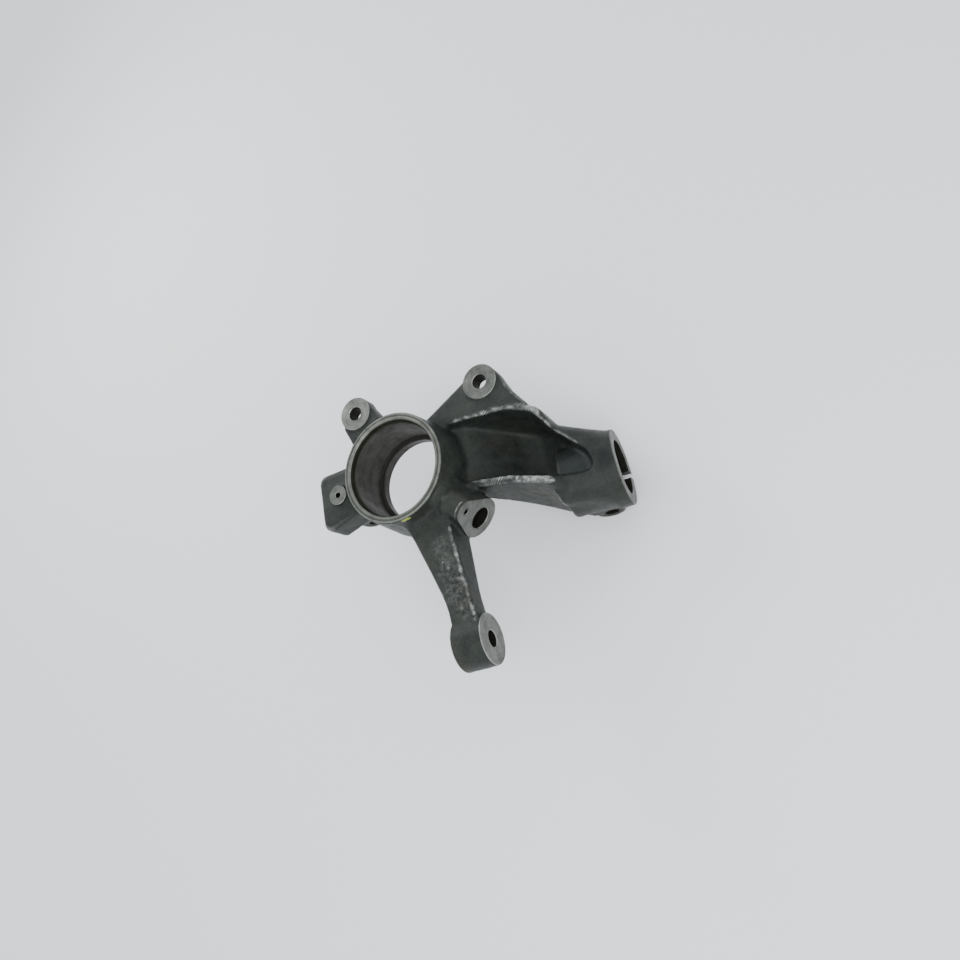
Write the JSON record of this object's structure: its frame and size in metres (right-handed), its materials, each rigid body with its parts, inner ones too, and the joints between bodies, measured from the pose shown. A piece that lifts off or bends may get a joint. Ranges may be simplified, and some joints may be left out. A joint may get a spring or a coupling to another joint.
{
  "type": "steering knuckle",
  "caption": "Cast-iron steering knuckle with a pressed wheel-bearing seat, a channelled neck up to a split strut clamp, caliper lugs and a steering arm.",
  "frame": {"origin": "centre of the wheel bearing's seat, on the hub axis, 25.4 mm inboard of the hub's machined outboard rim", "axes": "+Z is the hub axis, pointing outboard, away from the car. +X points up the strut, to the strut clamp. +Y points towards the brake caliper's lugs. The car's up is close to +X."},
  "size_m": [0.2564, 0.2731, 0.1284],
  "materials": {
    "cast_iron": "rough sand-cast skin, with bare machined faces and bores"
  },
  "bodies": {
    "root": {"knuckle": "cast_iron"}
  },
  "joints": []
}
